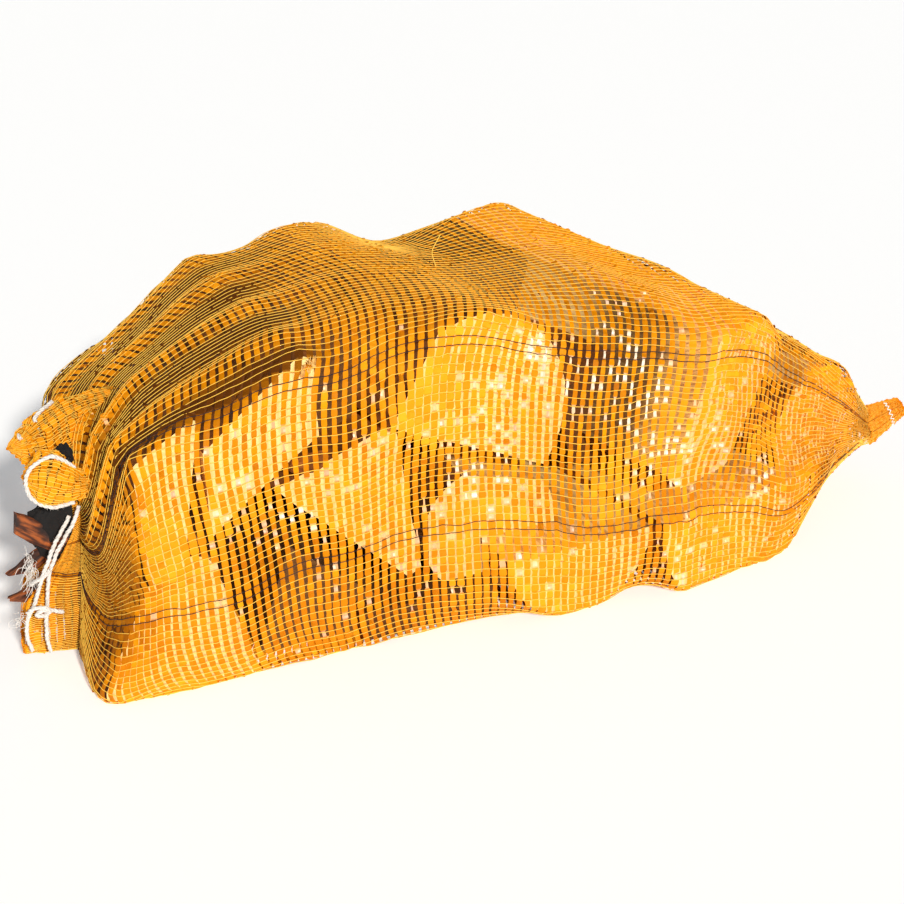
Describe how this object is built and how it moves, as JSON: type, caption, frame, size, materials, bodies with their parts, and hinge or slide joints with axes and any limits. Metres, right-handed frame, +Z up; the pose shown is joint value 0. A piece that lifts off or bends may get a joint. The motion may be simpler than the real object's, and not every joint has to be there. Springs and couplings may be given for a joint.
{
  "type": "net sack of firewood logs",
  "caption": "Knitted net sack pulled tight over split firewood logs, lying on its side, with a drawstring mouth at one end and a gathered sewn tail at the other.",
  "frame": {"origin": "on the floor under the middle of the sack's outer box", "axes": "+X along the sack from the drawstring mouth to the sewn tail, +Y from the shown front, with the sawn log ends, to the back, +Z up"},
  "size_m": [0.7668, 0.2958, 0.2463],
  "materials": {
    "net": "shiny orange-yellow knitted tape",
    "bark": "rough red-brown bark",
    "drawstring": "soft white string"
  },
  "bodies": {
    "root": {"net_of_logs": "net", "bark_sliver_upper": "bark", "bark_sliver_middle": "bark", "bark_sliver_lower": "bark", "drawstring_hem": "drawstring", "drawstring_end_long": "drawstring", "drawstring_end_short": "drawstring"}
  },
  "joints": []
}
